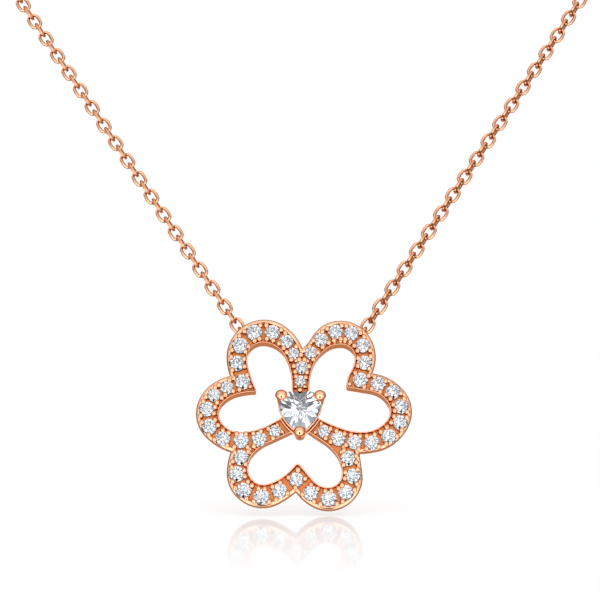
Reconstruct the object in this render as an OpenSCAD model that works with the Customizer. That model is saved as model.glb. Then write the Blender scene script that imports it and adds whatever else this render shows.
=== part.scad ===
// Clover pendant of three hearts set with small stones, on a fine cable chain, in its worn form.
// Millimetres. X runs to the right as seen from the front, Y runs back to the nape, Z is up.
// The origin is where the chain sits on the nape. The front of the pendant faces -Y.
// The pendant is drawn flat with its front rim at y = 0 and its middle at x = 0, z = 0,
// then leaned back and hung from the two lug rings on its back.

/* [Pendant] */
// Thickness of the clover from its front rim to its back
frame_depth = 1.3; // [1.1:0.05:1.8]
// Width of the bright rim on both edges of the band
rim_width = 0.12; // [0.08:0.01:0.18]
// Depth of the channel in which the small stones sit
channel_depth = 0.16; // [0.08:0.01:0.3]
// Backward lean of the pendant and of the V of chain, in degrees
lean = 15; // [0:1:25]
// Radius of the bead on the end of each prong of the heart stone
prong_ball = 0.42; // [0.3:0.01:0.5]
// Thickness of the prongs of the heart stone
prong_wire = 0.34; // [0.2:0.02:0.5]

/* [Stones] */
// Height of a small stone's crown above its girdle
crown_height = 0.15; // [0.08:0.01:0.25]
// Depth of a small stone below its girdle
pavilion_depth = 0.42; // [0.3:0.01:0.5]
// Distance of the heart stone's girdle in front of the rim
heart_rise = 0.4; // [0.3:0.05:0.8]
// Height of the heart stone's crown
heart_crown = 0.4; // [0.2:0.05:0.6]
// Depth of the heart stone below its girdle
heart_pavilion = 1.2; // [0.8:0.05:1.25]

/* [Chain] */
// Thickness of the wire of a chain link
link_wire = 0.22; // [0.16:0.01:0.3]
// Outer length of a chain link
link_length = 1.33; // [1.1:0.01:1.6]
// Outer width of a chain link
link_width = 0.94; // [0.8:0.01:1.2]
// Thickness of the wire of the two lug rings
lug_wire = 0.26; // [0.2:0.01:0.36]
// Thickness of the round body of the clasp ring
clasp_body = 1.1; // [0.8:0.1:1.6]

/* [Colour] */
// Colour of the metal
metal = [0.86, 0.58, 0.44];
// Colour of the stones
stone = [0.93, 0.95, 0.98];

/* [Hidden] */
$fn = 48;
chain_width = link_width;

// Where the lug rings turn on the end links: height above the pendant's middle and depth
// behind its front rim, then the place of that line in the worn necklace.
hinge_height = 6.45;
hinge_depth = 2.1;
hinge_y = -96;
hinge_z = -124;
hinge_left = -4.27;
hinge_right = 4.58;
// Lean of each side of the V from upright, measured in the plane of the V.
angle_left = -33.3;
angle_right = 32.8;

// Outlines of the band, clockwise from the front. Columns: x, z of a corner point, and the radius
// of the arc that leads to the next one. A radius above 0 bulges out, below 0 curves in, 0 is straight.
OUTLINE = [
    [-5.00, 2.76, 4.2], [-5.25, 4.12, 2.75], [-3.95, 6.47, 2.5], [-1.45, 6.60, 3.55],
    [0.15, 4.77, -3.25], [0.84, 5.63, 2.3], [2.96, 6.79, 2.45], [4.87, 5.72, 2.85],
    [5.10, 2.95, 3.4], [7.23, 1.81, 2.4], [7.81, -0.27, 3.1], [5.41, -2.60, 6.9],
    [4.14, -2.76, 19], [4.33, -4.28, 2.3], [3.44, -6.28, 2.4], [0.80, -6.49, 3.5],
    [-0.33, -5.52, 7.3], [-1.42, -6.26, 2.55], [-4.32, -5.96, 2.35], [-5.14, -4.14, 4.8],
    [-4.88, -2.66, 4.35], [-6.53, -1.74, 2.4], [-7.35, 0.23, 2.65], [-6.32, 2.12, 3.55]];
LEFT_OPENING = [
    [-2.51, 5.12, 1.84], [-1.15, 4.23, 4.46], [-0.61, 2.15, 0], [-0.59, 0.66, 0.88], [-1.02, -0.11, 0],
    [-2.34, -0.84, 4.2], [-4.23, -1.29, 1.55], [-5.71, -0.24, 1.1], [-5.55, 0.67, 2.2],
    [-4.25, 1.44, 5], [-3.26, 1.57, -0.14], [-3.14, 1.78, 8.6], [-3.56, 2.89, 4], [-3.79, 4.07, 1.13]];
RIGHT_OPENING = [
    [2.84, 4.99, 1], [3.86, 4.15, 1.95], [3.57, 3.07, -2.5], [3.24, 2.09, -0.18], [3.39, 1.87, 0],
    [4.91, 1.61, 1.73], [6.27, 0.52, 1.1], [6.10, -0.41, 2.15], [4.57, -1.27, 3.6],
    [3.17, -1.11, 10.9], [1.04, -0.18, 0.93], [0.57, 0.65, 0], [0.65, 2.22, 4.7], [0.90, 3.40, 2.9],
    [1.96, 4.73, 1.57]];
LOWER_OPENING = [
    [-0.31, -1.17, 0.68], [0.39, -1.20, 0], [1.66, -2.05, 3.1], [2.60, -3.08, 2.45],
    [2.89, -4.22, 0.98], [1.92, -5.18, 1.32], [0.95, -4.76, 16], [0.00, -3.64, -0.24],
    [-0.38, -3.63, 4.6], [-1.26, -4.46, 3.1], [-2.31, -4.95, 1.02], [-3.23, -4.74, 1.2],
    [-3.63, -4.05, 1.5], [-3.44, -3.06, 2.76], [-2.10, -2.01, 0]];

// Small stones. Columns: x, z, diameter. They run up the stem, then round each lobe.
STONES = [
    [0.10, 3.35, 0.94], [0.00, 2.35, 0.82],
    [-0.50, 4.35, 0.86], [-1.00, 5.25, 0.98], [-2.00, 5.90, 1.08], [-3.30, 5.90, 1.14],
    [-4.30, 4.95, 1.14], [-4.50, 3.65, 1.10], [-4.10, 2.30, 1.10],
    [-5.20, 1.90, 0.94], [-6.10, 1.35, 0.94], [-6.60, 0.35, 1.06], [-6.40, -0.90, 1.10],
    [-5.45, -1.75, 1.08], [-4.15, -1.90, 1.06], [-2.90, -1.80, 1.06], [-1.80, -1.25, 0.90],
    [-4.15, -3.10, 1.06], [-4.45, -4.25, 1.10], [-3.95, -5.40, 1.10], [-2.70, -5.85, 1.12],
    [-1.45, -5.45, 1.08], [-0.30, -4.65, 1.02],
    [0.70, -5.60, 1.08], [1.95, -6.00, 1.12], [3.15, -5.55, 1.06], [3.65, -4.40, 1.08],
    [3.35, -3.15, 1.06],
    [0.75, 4.40, 0.92], [1.45, 5.35, 1.02], [2.50, 5.95, 1.04], [3.65, 5.85, 1.04],
    [4.45, 4.95, 1.02], [4.55, 3.70, 1.02], [4.25, 2.45, 1.06],
    [5.50, 2.15, 1.06], [6.55, 1.60, 1.02], [7.10, 0.55, 1.04], [7.00, -0.60, 1.04],
    [6.20, -1.60, 1.06], [5.00, -2.05, 1.06], [3.80, -2.00, 1.04], [2.65, -1.75, 1.02],
    [1.65, -1.25, 0.90]];
// Depth of a small stone's girdle behind the front rim.
girdle_depth = 0.1;

// Right half of the heart stone's girdle from the notch to the tip. Columns: x, z.
HEART_HALF = [
    [0, 1.34], [0.25, 1.47], [0.55, 1.53], [0.9, 1.47], [1.22, 1.27], [1.42, 0.95], [1.45, 0.6],
    [1.36, 0.15], [1.17, -0.3], [0.9, -0.68], [0.55, -1.05], [0.25, -1.28], [0, -1.38]];
heart_middle = [-0.02, 0.35];
// Prongs of the heart stone. Columns: x, z of the ball, x, z of the foot in the hub.
PRONGS = [[-1.36, 1.2, -0.62, 0.6], [1.38, 1.2, 0.6, 0.6], [-0.04, -1.41, -0.02, -0.75]];

// Route of the chain from the end of each straight side of the V to the clasp, for the left side.
// The right side is its mirror image. Columns: x, y, z.
v_length = 76;
ROUTE = [[-54.5, -73, -46], [-58.5, -60, -28], [-57.5, -42, -15], [-47, -18.5, -5],
         [-26, -3.5, -1], [-4.05, 0.55, 0]];
clasp_y = 0.55;
clasp_radius = 2.2;
loop_wire = 0.28;
loop_radius = 0.45;

// Outline helpers

function unit(v) = v / norm(v);
function turn(v, a) = [v[0] * cos(a) - v[1] * sin(a), v[0] * sin(a) + v[1] * cos(a)];
function chord(list, i) = let (p = list[i], q = list[(i + 1) % len(list)]) [q[0] - p[0], q[1] - p[1]];
function side(list, i) = let (c = unit(chord(list, i))) [-c[1], c[0]];
function half_sweep(list, i) =
    let (r = list[i][2]) r == 0 ? 0 : sign(r) * asin(norm(chord(list, i)) / 2 / abs(r));
function centre(list, i) =
    let (p = list[i], c = chord(list, i), r = list[i][2], l = norm(c))
    [p[0], p[1]] + c / 2 - side(list, i) * sign(r) * sqrt(r * r - l * l / 4);
function wider(r, d) = r > 0 ? r + d : r < 0 && abs(r) - d > 0.05 ? r + d : 0;
// The same outline moved out by d, or in for a d below 0.
function grown(list, d) = [for (i = [0:len(list) - 1])
    let (k = (i + len(list) - 1) % len(list),
         a = turn(side(list, k), -half_sweep(list, k)), b = turn(side(list, i), half_sweep(list, i)),
         m = (a + b) * d / (1 + a * b))
    [list[i][0] + m[0], list[i][1] + m[1], wider(list[i][2], d)]];

// Points along the arc of edge i, about every six degrees.
function arc_points(list, i) =
    let (p = [list[i][0], list[i][1]], h = half_sweep(list, i), n = max(1, ceil(abs(h) / 3)))
    h == 0 ? [p] : [for (k = [0:n - 1]) centre(list, i) + turn(p - centre(list, i), -2 * h * k / n)];

module outline(list) {
    polygon([for (i = [0:len(list) - 1], p = arc_points(list, i)) p]);
}

// A flat shape drawn in x and z, made solid between two depths behind the front rim.
module plate(from, to) {
    translate([0, to, 0]) rotate([90, 0, 0]) linear_extrude(to - from) children();
}

// A round bar between two points.
module bar(p, q, r) {
    v = q - p;
    translate(p) rotate([0, acos(v[2] / norm(v)), atan2(v[1], v[0])]) cylinder(h = norm(v), r = r);
}

// Stones

// Round brilliant with an eight-sided table, its axis along y, its girdle at y = 0.
module brilliant(d) {
    r = d / 2;
    g = 0.02;
    table = [for (i = [0:7]) [0.56 * r * cos(45 * i), -crown_height - g, 0.56 * r * sin(45 * i)]];
    top = [for (i = [0:15]) [r * cos(22.5 * i), -g, r * sin(22.5 * i)]];
    low = [for (i = [0:15]) [r * cos(22.5 * i), g, r * sin(22.5 * i)]];
    points = concat(table, top, low, [[0, pavilion_depth * r / 0.55, 0]]);
    polyhedron(points, concat(
        [[0, 1, 2, 3, 4, 5, 6, 7]],
        [for (i = [0:7]) [i, 8 + 2 * i, 8 + (2 * i + 15) % 16]],
        [for (i = [0:7]) [i, 8 + 2 * i + 1, 8 + 2 * i]],
        [for (i = [0:7]) [i, (i + 1) % 8, 8 + 2 * i + 1]],
        [for (i = [0:15]) [8 + i, 8 + (i + 1) % 16, 24 + (i + 1) % 16, 24 + i]],
        [for (i = [0:15]) [24 + i, 24 + (i + 1) % 16, 40]]));
}

heart_outline = concat(HEART_HALF,
    [for (i = [len(HEART_HALF) - 2:-1:1]) [-HEART_HALF[i][0], HEART_HALF[i][1]]]);
function heart_ring(s, y) = [for (p = heart_outline)
    [heart_middle[0] + p[0] * s, y, heart_middle[1] + (p[1] - heart_middle[1]) * s]];

module heart_shape(s) {
    polygon([for (p = heart_ring(s, 0)) [p[0], p[2]]]);
}

module heart_cut() {
    n = len(heart_outline);
    points = concat(heart_ring(0.58, -heart_rise - heart_crown), heart_ring(0.86, -heart_rise - heart_crown * 0.5),
        heart_ring(1, -heart_rise - 0.04), heart_ring(1, -heart_rise + 0.04),
        heart_ring(0.55, -heart_rise + heart_pavilion * 0.55),
        [[heart_middle[0], -heart_rise - heart_crown, heart_middle[1]],
         [heart_middle[0], -heart_rise + heart_pavilion, heart_middle[1]]]);
    polyhedron(points, concat(
        [for (i = [0:n - 1]) [5 * n, (i + 1) % n, i]],
        [for (k = [0:3], i = [0:n - 1]) [k * n + i, k * n + (i + 1) % n, (k + 1) * n + i]],
        [for (k = [0:3], i = [0:n - 1]) [k * n + (i + 1) % n, (k + 1) * n + (i + 1) % n, (k + 1) * n + i]],
        [for (i = [0:n - 1]) [4 * n + i, 4 * n + (i + 1) % n, 5 * n + 1]]));
}

// Room for a small stone, open to the front, with a cone for its point.
module seat(s) {
    r = s[2] / 2 + 0.025;
    translate([s[0], 0, s[1]]) rotate([-90, 0, 0]) rotate_extrude()
        polygon([[0, -0.5], [r, -0.5], [r, channel_depth - 0.02], [0.1, channel_depth + 0.48],
                 [0, channel_depth + 0.48]]);
}

// Metal

module band() {
    difference() {
        outline(OUTLINE);
        outline(LEFT_OPENING);
        outline(RIGHT_OPENING);
        outline(LOWER_OPENING);
    }
}

module channel() {
    difference() {
        outline(grown(OUTLINE, -rim_width));
        outline(grown(LEFT_OPENING, rim_width));
        outline(grown(RIGHT_OPENING, rim_width));
        outline(grown(LOWER_OPENING, rim_width));
        heart_shape(1.14);
    }
}

module prong(p) {
    foot = [p[2], frame_depth * 0.6, p[3]];
    knee = [p[0], 0.13, p[1]];
    tip = [p[0], -heart_rise - 0.15, p[1]];
    bar(foot, knee, prong_wire / 2);
    bar(knee, tip, prong_wire / 2);
    translate(knee) sphere(r = prong_wire / 2 + 0.05);
    translate(tip) sphere(r = prong_ball);
}

// Lug ring behind the band: its plane holds the depth and the direction of the chain.
module lug(x, angle) {
    inner = 0.31;
    r = inner + lug_wire / 2;
    reach = inner - link_wire / 2 - 0.05;
    translate([x, hinge_depth, hinge_height]) rotate([0, angle, 0]) translate([0, 0, -reach]) {
        rotate([0, 90, 0]) rotate_extrude() translate([r, 0]) circle(d = lug_wire, $fn = 24);
        translate([0, frame_depth - hinge_depth - 0.3, -0.36]) rotate([-90, 0, 0])
            cylinder(h = hinge_depth - frame_depth + 0.06, d = 0.4, $fn = 24);
    }
}

module frame_solid() {
    difference() {
        union() {
            plate(0, frame_depth) band();
            for (p = PRONGS) prong(p);
            lug(hinge_left, angle_left);
            lug(hinge_right, angle_right);
        }
        plate(-0.5, channel_depth) channel();
        for (s = STONES) seat(s);
        plate(-heart_rise - 0.1, 0.62) heart_shape(0.76);
        plate(-heart_rise + 0.09, -heart_rise + 0.28) heart_shape(0.98);
        plate(-heart_rise - 0.16, -heart_rise + 0.1) heart_shape(1.03);
        plate(-heart_rise - 0.32, -heart_rise - 0.1) heart_shape(0.9);
        translate([heart_middle[0], -1, heart_middle[1]]) rotate([-90, 0, 0])
            cylinder(h = frame_depth + 2, r = 0.36);
    }
}

// Oval wire link with its long axis along z, lying in the x z plane, around its middle.
module wire_link() {
    r = link_wire / 2;
    w = link_width / 2 - r;
    h = link_length / 2 - link_width / 2;
    for (s = [0, 180]) rotate([0, s, 0]) {
        translate([0, 0, h]) rotate([90, 0, 0]) rotate_extrude(angle = 180) translate([w, 0])
            circle(r = r, $fn = 24);
        translate([w, 0, -h]) cylinder(h = 2 * h, r = r, $fn = 24);
    }
}

// Round eye in the x z plane with its bend towards -z, two legs up to z = legs.
module eye(legs) {
    r = 0.1;
    w = 0.29;
    rotate([90, 0, 0]) rotate_extrude(angle = 180, start = 180) translate([w, 0]) circle(r = r, $fn = 24);
    for (x = [-w, w]) translate([x, 0, 0]) cylinder(h = legs, r = r, $fn = 24);
}

// Places what is drawn from the hinge line up along one side of the V.
module on_v(x, angle) {
    translate([x, hinge_y, hinge_z]) rotate([-lean, 0, 0]) rotate([0, angle, 0]) children();
}

pitch = link_length - 2 * link_wire - 0.02;
link_bend = link_length / 2 - link_wire / 2;
tube_start = 1.5;

function v_point(x, angle, s) = [x + s * sin(angle), hinge_y + s * cos(angle) * sin(lean),
                                 hinge_z + s * cos(angle) * cos(lean)];
function flip(p, s) = [-s * p[0], p[1], p[2]];

// Smooth curve through a list of points, spaced by the square roots of their distances.
function knot(t, a, b) = t + sqrt(norm(b - a));
function mix(a, b, ta, tb, t) = a * (tb - t) / (tb - ta) + b * (t - ta) / (tb - ta);
function smooth(p, i, u) =
    let (a = p[i - 1], b = p[i], c = p[i + 1], d = p[i + 2],
         t1 = knot(0, a, b), t2 = knot(t1, b, c), t3 = knot(t2, c, d), t = t1 + (t2 - t1) * u,
         ab = mix(a, b, 0, t1, t), bc = mix(b, c, t1, t2, t), cd = mix(c, d, t2, t3, t))
    mix(mix(ab, bc, 0, t2, t), mix(bc, cd, t1, t3, t), t1, t2, t);

// Ring centres of one side: s is -1 for the left side and 1 for the right one.
function side_points(x, angle, s) =
    let (turns = [for (p = ROUTE) flip(p, s)], end = turns[len(turns) - 1],
         list = concat([v_point(x, angle, v_length - 12), v_point(x, angle, v_length)], turns,
                       [[-end[0], end[1], end[2]]]))
    concat([v_point(x, angle, tube_start), v_point(x, angle, v_length - 6)],
           [for (i = [1:len(list) - 3], u = [0:5]) smooth(list, i, u / 6)], [end]);

module tube(list) {
    n = len(list);
    ahead = [0, cos(lean), -sin(lean)];
    rings = [for (i = [0:n - 1])
        let (t = unit(list[min(i + 1, n - 1)] - list[max(i - 1, 0)]),
             a = unit(cross(t, ahead)), b = cross(t, a))
        for (k = [0:7]) list[i] + chain_width / 2 * (a * cos(45 * k + 22.5) + b * sin(45 * k + 22.5))];
    polyhedron(rings, concat(
        [[for (k = [7:-1:0]) k]],
        [for (i = [0:n - 2], k = [0:7]) [8 * i + k, 8 * i + (k + 1) % 8, 8 * i + 8 + k]],
        [for (i = [0:n - 2], k = [0:7]) [8 * i + (k + 1) % 8, 8 * i + 8 + (k + 1) % 8, 8 * i + 8 + k]],
        [[for (k = [0:7]) 8 * (n - 1) + k]]));
}

module chain_side(x, angle, s) {
    tube(side_points(x, angle, s));
    on_v(x, angle) translate([0, 0, pitch + 0.29 - 0.01]) rotate([0, 0, 90]) eye(0.7);
    translate([s * (clasp_radius + clasp_body / 2 + loop_radius + 0.42), clasp_y, 0])
        rotate([0, s * 90, 0]) eye(0.75);
}

// The pieces

module worn() {
    translate([0, hinge_y, hinge_z]) rotate([-lean, 0, 0])
        translate([0, -hinge_depth, -hinge_height]) children();
}

module clover_frame() {
    color(metal) worn() frame_solid();
}

module pave_stones() {
    color(stone) worn() for (s = STONES) translate([s[0], girdle_depth, s[1]]) brilliant(s[2]);
}

module heart_stone() {
    color(stone) worn() heart_cut();
}

module end_link_left() {
    color(metal) on_v(hinge_left, angle_left) translate([0, 0, link_bend]) wire_link();
}

module end_link_right() {
    color(metal) on_v(hinge_right, angle_right) translate([0, 0, link_bend]) wire_link();
}

module chain_left() {
    color(metal) chain_side(hinge_left, angle_left, -1);
}

module chain_right() {
    color(metal) chain_side(hinge_right, angle_right, 1);
}

module clasp() {
    color(metal) translate([0, clasp_y, 0]) {
        rotate([90, 0, 0]) rotate_extrude() translate([clasp_radius, 0]) circle(d = clasp_body, $fn = 32);
        for (s = [-1, 1]) translate([s * (clasp_radius + clasp_body / 2 + loop_radius - 0.05), 0, 0])
            rotate_extrude() translate([loop_radius, 0]) circle(d = loop_wire, $fn = 24);
    }
}

clover_frame();
pave_stones();
heart_stone();
end_link_left();
end_link_right();
chain_left();
chain_right();
clasp();
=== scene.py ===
import math

import bmesh
import bpy
from mathutils import Matrix, Vector


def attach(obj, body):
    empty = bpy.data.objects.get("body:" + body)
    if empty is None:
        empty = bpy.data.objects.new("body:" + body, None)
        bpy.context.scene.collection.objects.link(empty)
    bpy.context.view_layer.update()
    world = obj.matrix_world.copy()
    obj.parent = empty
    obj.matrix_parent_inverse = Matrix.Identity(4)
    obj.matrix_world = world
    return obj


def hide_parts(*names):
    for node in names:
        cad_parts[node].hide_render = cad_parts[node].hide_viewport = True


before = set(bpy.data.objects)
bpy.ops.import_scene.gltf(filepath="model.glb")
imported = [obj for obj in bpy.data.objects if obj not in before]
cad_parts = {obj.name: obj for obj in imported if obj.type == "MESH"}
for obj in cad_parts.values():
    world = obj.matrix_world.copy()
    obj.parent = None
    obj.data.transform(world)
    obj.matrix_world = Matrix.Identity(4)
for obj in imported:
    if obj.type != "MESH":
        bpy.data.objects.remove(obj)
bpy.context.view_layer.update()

# Sizes are in millimetres, and the finished shapes in metres.
MM = 0.001

# The hinge line of the two lug rings, in the worn necklace and in the flat pendant, and how far the pendant
# leans back. The flat pendant's x and z are seen from the front, and its depth runs back from the front rim.
HINGE = Vector((0, -96, -124))
HINGE_DEPTH = 2.1
HINGE_HEIGHT = 6.45
LEAN = math.radians(15)
FRAME_DEPTH = 1.3
FLOOR_HEIGHT = -136.66

# Outlines of the band, clockwise from the front: corner x, corner z, radius of the arc to the next corner.
OUTLINE = [
    (-5.00, 2.76, 4.2), (-5.25, 4.12, 2.75), (-3.95, 6.47, 2.5), (-1.45, 6.60, 3.55),
    (0.15, 4.77, -3.25), (0.84, 5.63, 2.3), (2.96, 6.79, 2.45), (4.87, 5.72, 2.85),
    (5.10, 2.95, 3.4), (7.23, 1.81, 2.4), (7.81, -0.27, 3.1), (5.41, -2.60, 6.9),
    (4.14, -2.76, 19), (4.33, -4.28, 2.3), (3.44, -6.28, 2.4), (0.80, -6.49, 3.5),
    (-0.33, -5.52, 7.3), (-1.42, -6.26, 2.55), (-4.32, -5.96, 2.35), (-5.14, -4.14, 4.8),
    (-4.88, -2.66, 4.35), (-6.53, -1.74, 2.4), (-7.35, 0.23, 2.65), (-6.32, 2.12, 3.55)]
LEFT_OPENING = [
    (-2.51, 5.12, 1.84), (-1.15, 4.23, 4.46), (-0.61, 2.15, 0), (-0.59, 0.66, 0.88), (-1.02, -0.11, 0),
    (-2.34, -0.84, 4.2), (-4.23, -1.29, 1.55), (-5.71, -0.24, 1.1), (-5.55, 0.67, 2.2),
    (-4.25, 1.44, 5), (-3.26, 1.57, -0.14), (-3.14, 1.78, 8.6), (-3.56, 2.89, 4), (-3.79, 4.07, 1.13)]
RIGHT_OPENING = [
    (2.84, 4.99, 1), (3.86, 4.15, 1.95), (3.57, 3.07, -2.5), (3.24, 2.09, -0.18), (3.39, 1.87, 0),
    (4.91, 1.61, 1.73), (6.27, 0.52, 1.1), (6.10, -0.41, 2.15), (4.57, -1.27, 3.6),
    (3.17, -1.11, 10.9), (1.04, -0.18, 0.93), (0.57, 0.65, 0), (0.65, 2.22, 4.7), (0.90, 3.40, 2.9),
    (1.96, 4.73, 1.57)]
LOWER_OPENING = [
    (-0.31, -1.17, 0.68), (0.39, -1.20, 0), (1.66, -2.05, 3.1), (2.60, -3.08, 2.45),
    (2.89, -4.22, 0.98), (1.92, -5.18, 1.32), (0.95, -4.76, 16), (0.00, -3.64, -0.24),
    (-0.38, -3.63, 4.6), (-1.26, -4.46, 3.1), (-2.31, -4.95, 1.02), (-3.23, -4.74, 1.2),
    (-3.63, -4.05, 1.5), (-3.44, -3.06, 2.76), (-2.10, -2.01, 0)]

# Degrees that one step along an arc turns, and the smallest radius that a hollow arc keeps when it is moved.
ARC_STEP = 3.2
SHARPEST_HOLLOW = 0.03

# Section of the band at an edge: distance inside the outline, depth behind the front rim. The last points
# are the slope cut down from the bright rim to the stones.
OUTER_SECTION = [
    (0.16, FRAME_DEPTH), (0.08, FRAME_DEPTH - 0.06), (0.01, 0.32), (0.0, 0.24), (0.015, 0.15),
    (0.05, 0.075), (0.11, 0.025), (0.18, 0.0), (0.25, 0.01), (0.3, 0.045), (0.34, 0.14), (0.35, 0.32)]
OPENING_SECTION = [
    (0.09, FRAME_DEPTH), (0.03, FRAME_DEPTH - 0.06), (0.0, 0.12), (0.005, 0.04), (0.03, 0.005),
    (0.07, 0.005), (0.1, 0.04), (0.125, 0.12), (0.135, 0.32)]
# Depths between which the band is rougher and darkened by a painted shade, which stands for the dark of its
# sunken channel and seats.
ROUGH_AND_SHADED_DEPTHS = (0.2, 1.1)
# How much rougher unpolished metal is.
RECESS_ROUGHNESS = 0.2

# Small stones up the stem and round each lobe: x, z, diameter.
STONES = [
    (0.10, 3.35, 0.94), (0.00, 2.35, 0.82),
    (-0.50, 4.35, 0.86), (-1.00, 5.25, 0.98), (-2.00, 5.90, 1.08), (-3.30, 5.90, 1.14),
    (-4.30, 4.95, 1.14), (-4.50, 3.65, 1.10), (-4.10, 2.30, 1.10),
    (-5.20, 1.90, 0.94), (-6.10, 1.35, 0.94), (-6.60, 0.35, 1.06), (-6.40, -0.90, 1.10),
    (-5.45, -1.75, 1.08), (-4.15, -1.90, 1.06), (-2.90, -1.80, 1.06), (-1.80, -1.25, 0.90),
    (-4.15, -3.10, 1.06), (-4.45, -4.25, 1.10), (-3.95, -5.40, 1.10), (-2.70, -5.85, 1.12),
    (-1.45, -5.45, 1.08), (-0.30, -4.65, 1.02),
    (0.70, -5.60, 1.08), (1.95, -6.00, 1.12), (3.15, -5.55, 1.06), (3.65, -4.40, 1.08),
    (3.35, -3.15, 1.06),
    (0.75, 4.40, 0.92), (1.45, 5.35, 1.02), (2.50, 5.95, 1.04), (3.65, 5.85, 1.04),
    (4.45, 4.95, 1.02), (4.55, 3.70, 1.02), (4.25, 2.45, 1.06),
    (5.50, 2.15, 1.06), (6.55, 1.60, 1.02), (7.10, 0.55, 1.04), (7.00, -0.60, 1.04),
    (6.20, -1.60, 1.06), (5.00, -2.05, 1.06), (3.80, -2.00, 1.04), (2.65, -1.75, 1.02),
    (1.65, -1.25, 0.90)]
# Depth of their girdles and of the channel that they stand in, and the widest gap between two neighbours.
GIRDLE_DEPTH = 0.1
CHANNEL_DEPTH = 0.32
WIDEST_GAP = 0.36

# Seat of a small stone, cut by a burr: depth of the burr's top, room round the girdle, height of the straight
# wall below the girdle, depth of the tip below the girdle, radius of the tip. The heart stone's pocket: its
# depth, and the share of the stone's width that is left at its bottom.
BURR_TOP = -0.3
SEAT_ROOM = 0.02
SEAT_WALL = 0.03
SEAT_DEPTH = 0.58
SEAT_TIP = 0.06
POCKET_DEPTH = 0.95
POCKET_TIP = 0.12

# A small stone of radius 1: half thickness of its girdle, height of its crown, half width of its table, and
# the angles of its facets.
GIRDLE_HALF = 0.025
CROWN_HEIGHT = 0.297
TABLE_REACH = 0.56
CROWN_MAINS, CROWN_HALVES, CROWN_STARS = 34, 40.5, 21.6
PAVILION_MAINS, PAVILION_HALVES = 41, 42.2

# Grains, the small beads that hold the stones: radius, depth, and thickness as a share of the radius. Each
# stands beside a stone, turned from the line to the next one, and keeps clear of rim, stones and other beads.
GRAIN = 0.2
GRAIN_DEPTH = 0.05
GRAIN_FLATNESS = 0.75
GRAIN_TURN = math.radians(50)
GRAIN_GAP = 0.04
GRAIN_SHIFT = 0.08
GRAIN_SPACING = 0.31
RIM_STEPS = 16
RIM_ROOM = 0.33
LEAST_RIM_ROOM = 0.14
STONE_ROOM = 0.03
# Each bead's shoulder runs out towards the rim: how far it goes at least and at most, how far short of the
# rim it stops, how far it goes under the bead, its depth below the bead, its width as a share of the bead's,
# and half its thickness.
SHORTEST_SHOULDER = 0.02
LONGEST_SHOULDER = 0.3
SHOULDER_STOP = 0.2
SHOULDER_OVERLAP = 0.1
SHOULDER_DEPTH = 0.06
SHOULDER_WIDTH = 0.8
SHOULDER_HALF = 0.11
# Beads that stand alone where the rows end: x, z, radius.
LONE_GRAINS = [
    (-3.54, 1.96, 0.16), (3.48, 2.15, 0.16), (-0.17, -3.98, 0.24),
    (-1.61, -0.79, 0.16), (-1.27, -1.26, 0.16), (1.44, -0.69, 0.16),
    (1.04, -1.29, 0.16), (-0.33, 1.94, 0.15), (0.30, 1.94, 0.15)]

# Heart stone: right half of its girdle from the notch to the tip, the middle of the girdle and how far it
# stands in front of the band, height of the crown, depth of the pavilion, half the girdle's thickness.
HEART_HALF = [
    (0, 1.34), (0.25, 1.47), (0.55, 1.53), (0.9, 1.47), (1.22, 1.27), (1.42, 0.95), (1.45, 0.6),
    (1.36, 0.15), (1.17, -0.3), (0.9, -0.68), (0.55, -1.05), (0.25, -1.28), (0, -1.38)]
HEART_MIDDLE = Vector((-0.02, 0, 0.35))
HEART_RISE = 0.4
HEART_CROWN = 0.4
HEART_PAVILION = 1.2
HEART_GIRDLE_HALF = 0.03
# Its facets follow the edges of the girdle, and the even and the odd ones are unlike. Crown: angles of the
# mains; angle of the stars, and how far outside the edge they would meet its level. Pavilion: degrees by
# which the mains are steeper than a cone; turn, angle, reach and depth of the lower facets, the last three as
# shares of the mains'. Edges whose line runs nearer to the middle than LEAST_REACH have no facet.
HEART_CROWN_MAINS = (42, 36)
HEART_STARS, HEART_STAR_OUT = 24, 0.0095
HEART_STEEPER = (1.5, 0)
LOWER_TURN, LOWER_SLOPE, LOWER_REACH, LOWER_DEPTH = 0.12, 0.8, 0.5, 0.58
LEAST_REACH = 0.2

# Balls at the tips of the prongs: depth, and radius along x, y and z.
BALL_DEPTH = -0.52
BALL_SIZE = Vector((0.43, 0.36, 0.385))
# Each prong: middle of its ball, then points down its shaft as x, depth, z, radius.
PRONGS = [
    ((-1.34, 1.23), [(-1.36, -0.3, 1.18, 0.34), (-1.38, 0.5, 0.95, 0.24), (-1.3, 1.0, 0.74, 0.17),
                     (-0.5, 1.1, 0.4, 0.17)]),
    ((1.37, 1.2), [(1.39, -0.3, 1.15, 0.34), (1.4, 0.5, 0.9, 0.24), (1.29, 1.0, 0.6, 0.17),
                   (0.5, 1.1, 0.35, 0.17)]),
    ((-0.06, -1.36), [(-0.03, -0.3, -1.36, 0.41), (-0.03, 0.95, -1.34, 0.4)])]
# Wires under the heart stone's edge: width as a share of the girdle's, depth, radius, first and last point.
RAILS = [(1.03, -0.24, 0.07, 6, 18), (1.16, -0.01, 0.06, 8, 16)]
# The bead at the end of the stem, above the heart stone's notch.
NOTCH_BEAD = Vector((-0.03, -0.06, 1.66))
NOTCH_BEAD_SIZE = Vector((0.2, 0.14, 0.2))

# Lug rings: wire, inner radius, how far the ring's middle hangs below the hinge line. The bar at its foot:
# height on the ring, how far it starts before and ends behind the band's back, radius at both ends.
LUG_WIRE = 0.26
LUG_INNER = 0.31
LUG_DROP = 0.15
LUG_FOOT = -0.36
FOOT_BEFORE = 0.3
FOOT_BEHIND = 0.26
FOOT_RADII = (0.2, 0.19)

# Chain: link sizes, and how far every second link is turned round the chain.
LINK_WIRE = 0.24
LINK_LENGTH = 1.344
LINK_WIDTH = 1.02
LINK_TURN = math.radians(78)
PITCH = LINK_LENGTH - 2 * LINK_WIRE - 0.02
LINK_BEND = LINK_LENGTH / 2 - LINK_WIRE / 2
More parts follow.
